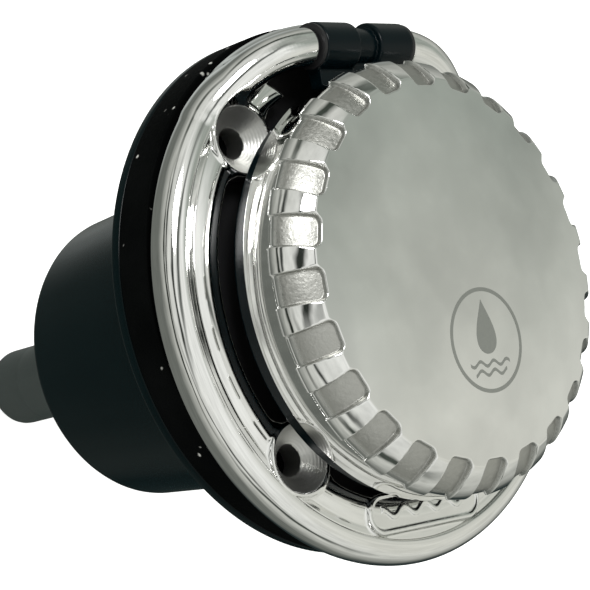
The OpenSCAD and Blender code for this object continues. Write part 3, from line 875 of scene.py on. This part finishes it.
# soft panels of the room as the polished steel sees it: direction, half size in degrees, softness, tone
roomPanels = [
    {"toward": (0.70, 0.46, 0.60), "half": (37, 30), "soft": 0.3, "tone": (0.33, 0.36, 0.325)},
    {"toward": (0.74, -0.42, 0.60), "half": (26, 24), "soft": 0.6, "tone": (0.66, 0.665, 0.61)},
    {"toward": (-0.95, 0.10, 0.12), "half": (46, 4), "soft": 0.5, "tone": (0.02, 0.025, 0.02)},
    {"toward": (-0.66, 0.24, 0.70), "half": (30, 5), "soft": 0.5, "tone": (0.03, 0.035, 0.03)},
    {"toward": (-0.80, 0.50, 0.30), "half": (30, 3), "soft": 0.6, "tone": (0.05, 0.055, 0.05)},
    {"toward": (0.30, 0.62, 0.72), "half": (16, 10), "soft": 0.6, "tone": (0.36, 0.38, 0.35)},
    {"toward": (-0.60, -0.62, 0.50), "half": (30, 3), "soft": 0.7, "tone": (0.04, 0.045, 0.04)},
    {"toward": (-0.20, 0.25, 0.92), "half": (30, 5), "soft": 0.6, "tone": (0.10, 0.11, 0.10)},
    {"toward": (-0.15, -0.95, 0.25), "half": (30, 5), "soft": 0.5, "tone": (0.06, 0.07, 0.06)},
    {"toward": (0.10, 0.98, 0.20), "half": (30, 6), "soft": 0.5, "tone": (0.05, 0.06, 0.05)},
    {"toward": (0.43, 0.60, -0.71), "half": (14, 16), "soft": 0.7, "tone": (0.5, 0.53, 0.51)},
    {"toward": (0.61, -0.36, -0.71), "half": (22, 22), "soft": 0.5, "tone": (0.02, 0.03, 0.03)},
]
roomBase = {
    "high": (0.86, 0.87, 0.84),
    "low": (0.56, 0.57, 0.53),
    "floor": (0.15, 0.16, 0.145),
    "strength": 1.05,
    "backdrop": (0.97, 0.97, 0.97),
    "wobble": 0.34,
    "mottle": (0.84, 1.12),
}


def makeRoom():
    world = bpy.data.worlds.new("room")
    bpy.context.scene.world = world
    world.use_nodes = True
    nodes, links = world.node_tree.nodes, world.node_tree.links
    light = nodes["Background"]
    straight = nodes.new("ShaderNodeTexCoord").outputs["Generated"]
    cloud = addNode(nodes, "ShaderNodeTexNoise", None, Scale=2.6, Detail=3.0, Roughness=0.5)
    links.new(straight, cloud.inputs["Vector"])
    shift = addNode(nodes, "ShaderNodeVectorMath", {"operation": "SUBTRACT"})
    shift.inputs[1].default_value = (0.5, 0.5, 0.5)
    links.new(cloud.outputs["Color"], shift.inputs[0])
    bend = addNode(nodes, "ShaderNodeVectorMath", {"operation": "MULTIPLY_ADD"})
    bend.inputs[1].default_value = (roomBase["wobble"],) * 3
    links.new(shift.outputs[0], bend.inputs[0])
    links.new(straight, bend.inputs[2])
    way = bend.outputs[0]

    def along(direction):
        node = addNode(nodes, "ShaderNodeVectorMath", {"operation": "DOT_PRODUCT"})
        node.inputs[1].default_value = direction
        links.new(way, node.inputs[0])
        return node.outputs["Value"]

    tilt = along((0, 0, 1))
    color = blendColor(nodes, links, spread(nodes, links, tilt, -0.45, 0.1, 0.0, 1.0), roomBase["floor"],
                       roomBase["low"])
    color = blendColor(nodes, links, spread(nodes, links, tilt, 0.1, 0.9, 0.0, 1.0), color,
                       roomBase["high"])
    for panel in roomPanels:
        front = Vector(panel["toward"]).normalized()
        side = Vector((0, 0, 1)).cross(front).normalized()
        upward = front.cross(side)
        depth = sums(nodes, links, "MAXIMUM", along(front), 0.001)
        amount = None
        for axis, degrees in ((side, panel["half"][0]), (upward, panel["half"][1])):
            edge = math.tan(math.radians(degrees))
            off = sums(nodes, links, "ABSOLUTE", sums(nodes, links, "DIVIDE", along(axis), depth), 0)
            fade = spread(nodes, links, off, edge * (1 - panel["soft"]), edge * (1 + panel["soft"]), 1.0,
                          0.0)
            amount = fade if amount is None else sums(nodes, links, "MULTIPLY", amount, fade)
        amount = sums(nodes, links, "MULTIPLY", amount, sums(nodes, links, "GREATER_THAN", depth, 0.01))
        color = blendColor(nodes, links, amount, color, panel["tone"])
    patchy = noiseAt(nodes, links, straight, 7.0, 4.0)
    scale = addNode(nodes, "ShaderNodeVectorMath", {"operation": "SCALE"})
    links.new(color, scale.inputs[0])
    links.new(spread(nodes, links, patchy, 0.3, 0.7, *roomBase["mottle"]), scale.inputs["Scale"])
    color = scale.outputs[0]
    seen = nodes.new("ShaderNodeLightPath").outputs["Is Camera Ray"]
    color = blendColor(nodes, links, seen, color, roomBase["backdrop"])
    links.new(color, light.inputs["Color"])
    light.inputs["Strength"].default_value = roomBase["strength"]


def softLight(name, spot, aim, size, power):
    lamp = bpy.data.lights.new(name, "AREA")
    lamp.shape = "DISK"
    lamp.size = size * mm
    lamp.energy = power
    holder = bpy.data.objects.new(name, lamp)
    bpy.context.scene.collection.objects.link(holder)
    holder.location = Vector(spot) * mm
    holder.rotation_euler = (Vector(aim) - Vector(spot)).to_track_quat("-Z", "Y").to_euler()


makeRoom()
softLight("key", (-350, 450, 700), (0, 0, 0), 350, 4.0)

cameraPlace = {
    "at": (-289.19, -32.99, 290.59),
    "ahead": (0.69585, 0.08619, -0.71300),
    "up": (0.06988, 0.97994, 0.18666),
    "lens": 134.66,
}


def makeCamera():
    lens = bpy.data.cameras.new("camera")
    lens.lens = cameraPlace["lens"]
    lens.sensor_width = 36
    lens.clip_start, lens.clip_end = 0.01, 20
    camera = bpy.data.objects.new("camera", lens)
    bpy.context.scene.collection.objects.link(camera)
    back = -Vector(cameraPlace["ahead"]).normalized()
    right = Vector(cameraPlace["up"]).cross(back).normalized()
    up = back.cross(right)
    turn = Matrix((right, up, back)).transposed().to_4x4()
    camera.matrix_world = Matrix.Translation(Vector(cameraPlace["at"]) * mm) @ turn
    bpy.context.scene.camera = camera


makeCamera()
bpy.context.scene.view_settings.view_transform = "Standard"
print("room and camera ready")
